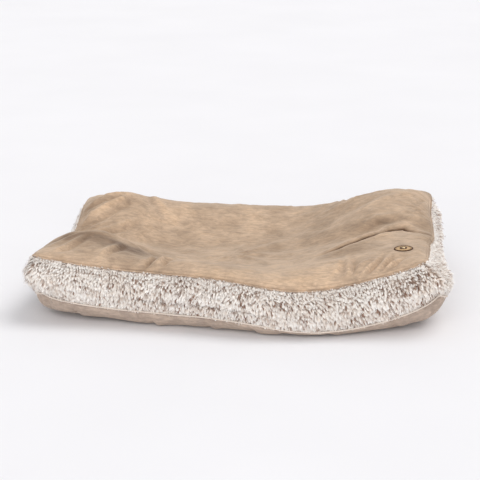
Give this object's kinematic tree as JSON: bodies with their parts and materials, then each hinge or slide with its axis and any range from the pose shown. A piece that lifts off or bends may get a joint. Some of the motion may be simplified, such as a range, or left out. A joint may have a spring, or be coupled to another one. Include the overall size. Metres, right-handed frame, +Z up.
{
  "type": "pet cushion bed",
  "caption": "Large boxed pet cushion bed: suede top and base panels, plush side band, soft fibre-filled inner pad, and a zip in the back seam.",
  "frame": {"origin": "on the floor under the middle of the bed", "axes": "+X along the length to the right as seen from the front, +Y to the back edge with the zip, +Z up"},
  "size_m": [1.1754, 0.8374, 0.2481],
  "materials": {
    "top_suede": "matte",
    "base_suede": "matte",
    "plush": "matte",
    "seam_edge": "matte",
    "badge_leather": "satin",
    "badge_binding": "matte",
    "thread": "satin",
    "stud_brass": "satin",
    "zip_tape": "matte",
    "zip_nylon": "satin",
    "zip_metal": "satin",
    "pull_tab": "satin",
    "label": "satin",
    "ticking": "matte",
    "hollow_fibre": "matte"
  },
  "bodies": {
    "cushion": {"top_panel": "top_suede", "base_panel": "base_suede", "front_band": "plush", "right_band": "plush", "back_band": "plush", "left_band": "plush", "back_strip_left": "base_suede", "back_strip_right": "base_suede", "top_welt": "seam_edge", "base_welt": "seam_edge", "badge_patch": "badge_leather", "badge_rim": "badge_binding", "badge_thread": "thread", "badge_stud": "stud_brass", "zip_tape_upper": "zip_tape", "zip_tape_lower": "zip_tape", "zip_teeth_upper": "zip_nylon", "zip_teeth_lower": "zip_nylon", "zip_stop_closed": "zip_metal", "zip_stop_open": "zip_metal", "care_label": "label", "inner_case_top": "ticking", "inner_case_base": "ticking", "inner_case_border": "ticking", "fibre_fill": "hollow_fibre"},
    "slider": {"zip_slider": "zip_metal"},
    "pull": {"zip_pull": "pull_tab"}
  },
  "joints": [
    {"name": "zip_slide", "type": "slide", "parent": "cushion", "child": "slider", "axis": [-1, 0, 0], "range_m": [0, 0.7]},
    {"name": "pull_turn", "type": "hinge", "parent": "slider", "child": "pull", "pos_m": [0.359, 0.402, 0.056], "axis": [0, 0, -1], "range_deg": [0, 180]}
  ]
}
